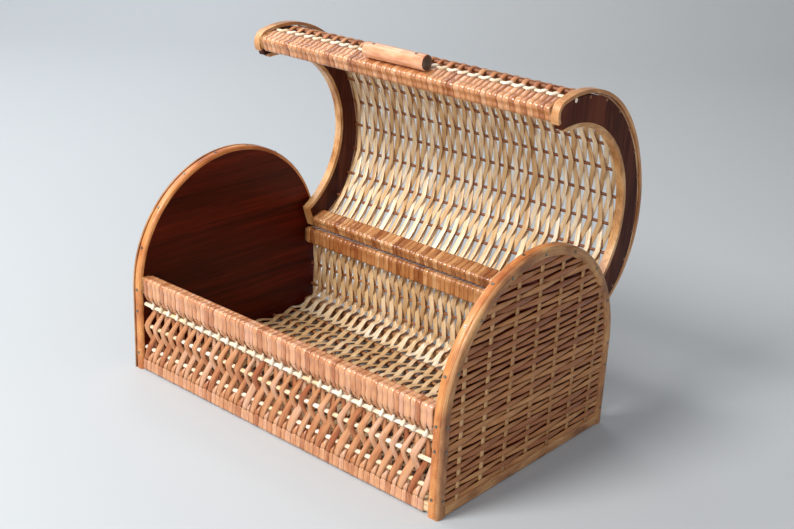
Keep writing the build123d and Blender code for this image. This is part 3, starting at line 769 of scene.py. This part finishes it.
# ------------------------------------------------------------------ skin's ends, between cheek and cane
def lid_edge_strands():
    """Strands laid along the top of each cheek, under the outer cane. They follow a superellipse halfway
    between board and cane, and rise and fall a little over the reed ends: lift = ripple * sin(16 * turn).
    They are thickest at the crest, and sway a little sideways."""
    start = .58
    inset_y, inset_z = 1.85, 2.5
    ripple, sway = .45, .35
    turn = np.linspace(start, math.pi - start, 160)
    places = np.array((-184.1, -180.2, 180.2, 184.1))[:, None]
    rise = LID_RISE - inset_z + ripple * np.sin(turn * 16)
    depth = (LID_HALF_DEPTH - inset_y) * np.sign(np.cos(turn)) * np.abs(np.cos(turn)) ** LID_POWER
    y = LID_MID_Y + depth
    z = LID_SEAT_Z + rise * np.sin(turn) ** LID_POWER
    x = places + sway * np.sin(turn * 8 + places)
    line = np.stack(np.broadcast_arrays(x, y[::-1], z[::-1]), -1)
    half_width = np.full(x.shape, 1.75)
    thickness = np.broadcast_to(.7 + 1.5 * np.sin(turn) ** 2, x.shape)
    surface = sweep(line, (1, 0, 0), half_width, thickness, HALF_ROUND, np.array((.2, .5, .6, .3)))
    write_piece("lid_edge_strands", surface, "lid", strand_lid)


lid_edge_strands()


# ------------------------------------------------------------------ woven infill of the end panels
def end_weavers(side, sign):
    """Weavers laid level, over and under upright stakes: with wave = cos(pi * (y / step + row)),
    depth = middle + swing * wave, height = row's height + rise * wave + wander, and the width goes with
    the wave too. The wander is three slow sines of y, of falling size."""
    heights = END_WEAVE_FOOT + FIRST_ROW_LIFT + END_ROW_STEP * np.arange(END_ROWS)
    above_spring = np.maximum(heights - ARCH_SPRING_Z, 0)
    reach = np.sqrt(np.maximum(END_WEAVE_RADIUS ** 2 - above_spring ** 2, 1.0))
    y = -sign * reach[:, None] * np.linspace(-1, 1, 121)
    wave = np.cos(math.pi * (y / END_STAKE_STEP + np.arange(END_ROWS)[:, None]))
    wander = np.zeros_like(y)
    for order in (1, 2, 3):
        size = chance.normal(0, WANDER_SIZE / order, (END_ROWS, 1))
        wander += size * np.sin(order * y / WANDER_LENGTH + chance.uniform(0, 6.3, (END_ROWS, 1)))
    z = heights[:, None] + wander + WEAVER_RISE * wave
    x = sign * (OUTER_FACE + END_WEAVE_DEPTH + WEAVER_SWING * wave)
    half_width = WEAVER_HALF_WIDTH * chance.normal(1, .1, (END_ROWS, 1)) * (1 + .22 * wave)
    thickness = np.full(y.shape, WEAVER_THICKNESS)
    tone = chance.uniform(.05, .95, END_ROWS)
    surface = sweep(np.stack((x, y, z), -1), (0, 0, 1), half_width, thickness, HALF_ROUND, tone)
    write_piece(f"{side}_end_weavers", surface, "box", end_weaver, (f"{side}_end_weave",))


def end_stakes(side, sign):
    """Upright stakes, from the foot cane to the arch, with a slow sine's sway."""
    stake_y = END_STAKE_STEP * (np.arange(END_STAKES) - (END_STAKES - 1) / 2)[:, None]
    top = ARCH_SPRING_Z + np.sqrt(END_WEAVE_RADIUS ** 2 - stake_y ** 2)
    z = END_WEAVE_FOOT + (top - END_WEAVE_FOOT) * np.linspace(0, 1, 24)
    y = stake_y + np.sin(z / STAKE_SWAY_LENGTH + stake_y) * STAKE_SWAY
    x = np.full(z.shape, sign * (OUTER_FACE + END_WEAVE_DEPTH))
    half_width = np.full(z.shape, STAKE_HALF_WIDTH)
    thickness = np.full(z.shape, STAKE_THICKNESS)
    tone = chance.uniform(.1, .9, END_STAKES)
    surface = sweep(np.stack((x, y, z), -1), (0, sign, 0), half_width, thickness, HALF_ROUND, tone)
    write_piece(f"{side}_end_stakes", surface, "box", end_stake)


for side, sign in (("left", -1), ("right", 1)):
    end_weavers(side, sign)
    end_stakes(side, sign)


# ------------------------------------------------------------------ handle
def handle_finish():
    """Varnished rattan: copper skin with faint clouds and fibres, and dark rings and pores at the cut
    ends. The rings go by the distance from the stick's axis, in metres."""
    f = Finish("handle_rattan", .7)
    centre = tuple(stand_open(np.array((0.0, HANDLE_Y, HANDLE_Z))) * MM)
    grain = f.add("Attribute", output=1, attribute_name="grain")
    end = f.add("Attribute", output=2, attribute_name="pith")
    fibre = f.noise(f.stretched(grain, (40, 1500, 1)), 4)
    cloud = f.noise(f.stretched(grain, (30, 60, 1)), 3)
    skin = f.ramp(f.spread(cloud, 0, 1), ((.1, "CC8860"), (.5, "E2A47C"), (.9, "EEBC98")))
    skin = f.mix(1.0, skin, f.ramp(fibre, ((.32, "C8A58E"), (.5, "FFFFFF"))), "MULTIPLY")
    across = f.stretched(f.moved(f.place(), centre), (0, 1, 1))
    from_axis = f.add("VectorMath", {0: across}, 1, operation="LENGTH")
    rings = f.ramp(from_axis, (
        (.001, "050302"), (.0028, "0C0604"), (.0036, "4A2E1E"),
        (.005, "20120A"), (.0066, "0E0705"), (.0074, "6A4028"),
    ))
    pores = f.add("TexVoronoi", {"Vector": f.place(), "Scale": 1100.0})
    cut = f.mix(1.0, rings, f.ramp(pores, ((.1, "6A6A6A"), (.6, "FFFFFF"))), "MULTIPLY")
    rough = f.math("ADD", f.spread(fibre, .34, .2), f.math("MULTIPLY", end, .4))
    return f.finish(f.mix(end, skin, cut), rough, fibre, .2, .0002)


def write_handle():
    """A turned stick: radius = full * (1 - small waves along it), a rounded edge at each end, and ends
    that close to a point in slightly dished faces."""
    shaft = np.linspace(-HANDLE_SHAFT_HALF, HANDLE_SHAFT_HALF, 35)
    end_along = np.array((0.0, 0.0, 0.0, 0.0, .3, 1.1)) - HANDLE_HALF
    end_radii = np.array((.02, .5, .86, .92, .97, 1.0))
    end_dish = np.array((.5, .35, .1, 0.0, 0.0, 0.0))
    along = np.concatenate((end_along, shaft, -end_along[::-1]))
    radii = np.concatenate((end_radii, np.ones(len(shaft)), end_radii[::-1]))
    dish = np.concatenate((end_dish, np.zeros(len(shaft)), -end_dish[::-1]))
    around = np.linspace(0, 2 * math.pi, 40, endpoint=False)
    wave = 1 - .012 * (1 + np.sin(along / 9.0)) - .006 * (1 + np.sin(along / 2.7 + 1))
    radius = HANDLE_RADIUS * radii * wave
    ring = radius[:, None] * (1 - .008 * (1 + np.cos(3 * around)))
    x = np.broadcast_to((along + dish)[:, None], ring.shape)
    points = np.stack((x, HANDLE_Y + ring * np.cos(around), HANDLE_Z + ring * np.sin(around)), -1)
    rows, count = ring.shape
    first = np.arange(rows * count).reshape(rows, count)
    turned = np.roll(first, -1, axis=1)
    walls = np.stack((first[:-1], turned[:-1], turned[1:], first[1:]), -1).reshape(-1, 4)
    rung = np.arange(count // 2 - 1)
    cap = np.stack((rung, rung + 1, count - 2 - rung, count - 1 - rung), -1)
    faces = np.concatenate((walls, cap[:, ::-1], first[-1, 0] + cap))
    grain = np.stack(np.broadcast_arrays(along[:, None] * MM, HANDLE_RADIUS * around * MM, 0.0), -1)
    cut_end = np.broadcast_to((radii < .95).astype(float)[:, None], ring.shape).copy()
    surface = Surface(points, faces, grain, np.full(ring.shape, .5), cut_end)
    write_piece("handle_stick", surface, "lid", handle_finish(), ("handle",))


write_handle()

# ------------------------------------------------------------------ floor, light and camera
AZIMUTH, ELEVATION, ROLL = (math.radians(v) for v in (40.3, 21.44, 2.87))
LENS_MM = 57.0
SENSOR_MM = 36.0
TARGET = Vector((-27.33, 77.09, 110.0)) * MM
DISTANCE = 1.28977


def stage_finish(right):
    """Pale paper, with painted shade: a little darker towards the right, where the light falls off."""
    f = Finish("stage_paper")
    place = f.place()
    soft = f.noise(f.stretched(place, (3, 3, 3)), 2)
    sideways = f.add("VectorMath", {0: place, 1: (*right, 0.0)}, 1, operation="DOT_PRODUCT")
    # painted shade: the paper darkens across the stage, away from the key light on the left
    fall = f.math("ADD", f.spread(sideways, 0, 1, -.9, 1.1), f.spread(soft, -.01, .01))
    colour = f.ramp(fall, ((.2, "BBC0C4"), (.9, "B2B4B5")))
    return f.finish(colour, f.spread(soft, .75, .7))


def write_stage():
    """A pale floor that sweeps up behind, in metres: height = 0, then a quarter circle, then straight up."""
    near_edge, bend, top_edge, half_width = -4.0, 1.6, 5.0, 6.0
    turn = np.linspace(0, math.pi / 2, 24)
    ahead = np.concatenate(((near_edge,), bend + bend * np.sin(turn), (2 * bend,)))
    height = np.concatenate(((0.0,), bend - bend * np.cos(turn), (top_edge,)))
    across = np.array((-half_width, half_width))
    forward = np.array((-math.sin(AZIMUTH), math.cos(AZIMUTH)))
    right = np.array((forward[1], -forward[0]))
    flat = ahead[:, None, None] * forward + across[None, :, None] * right
    points = np.concatenate((flat, np.broadcast_to(height[:, None, None], flat.shape[:2] + (1,))), -1)
    index = np.arange(points.shape[0] * 2).reshape(-1, 2)
    faces = np.stack((index[:-1, 0], index[:-1, 1], index[1:, 1], index[1:, 0]), -1)
    mesh = bpy.data.meshes.new("stage_floor")
    mesh.from_pydata(points.reshape(-1, 3).tolist(), [], faces.tolist())
    mesh.polygons.foreach_set("use_smooth", [True] * len(mesh.polygons))
    mesh.materials.append(stage_finish(right))
    floor = bpy.data.objects.new("stage_floor", mesh)
    bpy.context.scene.collection.objects.link(floor)


def lamp(name, place, aim, size, power, colour):
    light = bpy.data.lights.new(name, "AREA")
    light.shape = "DISK"
    light.size = size
    light.energy = power
    light.color = colour
    holder = bpy.data.objects.new(name, light)
    holder.location = place
    holder.rotation_euler = (Vector(aim) - Vector(place)).to_track_quat("-Z", "Y").to_euler()
    bpy.context.scene.collection.objects.link(holder)


def write_world():
    world = bpy.data.worlds.new("studio")
    world.use_nodes = True
    background = world.node_tree.nodes["Background"]
    background.inputs["Color"].default_value = (.9, .94, 1, 1)
    background.inputs["Strength"].default_value = .42
    bpy.context.scene.world = world
    bpy.context.scene.view_settings.view_transform = "Standard"


def write_camera():
    """A camera at DISTANCE from the target, turned by the azimuth and the elevation, and rolled."""
    level = math.cos(ELEVATION)
    back = Vector((math.sin(AZIMUTH) * level, -math.cos(AZIMUTH) * level, math.sin(ELEVATION)))
    right = (-back).cross(Vector((0, 0, 1))).normalized()
    up = right.cross(-back)
    camera_x = right * math.cos(ROLL) + up * math.sin(ROLL)
    camera_y = up * math.cos(ROLL) - right * math.sin(ROLL)
    turned = Matrix((camera_x, camera_y, back)).transposed().to_4x4()
    camera = bpy.data.objects.new("camera", bpy.data.cameras.new("camera"))
    camera.data.lens = LENS_MM
    camera.data.sensor_width = SENSOR_MM
    camera.matrix_world = Matrix.Translation(TARGET + back * DISTANCE) @ turned
    bpy.context.scene.collection.objects.link(camera)
    bpy.context.scene.camera = camera


write_stage()
lamp("key_lamp", (-.5, -1.7, 1.9), (0, 0, .12), 1.0, 68, (1, .98, .95))
lamp("left_lamp", (-1.7, -.3, 1.5), (0, 0, .12), 1.4, 16, (1, .99, .97))
lamp("fill_lamp", (1.2, -1.9, .7), (0, 0, .2), 1.4, 17, (.97, .98, 1))
lamp("back_lamp", (-1.5, 1.0, 1.9), (-1.3, 2.2, 0), 1.2, 13, (1, 1, 1))
write_world()
write_camera()
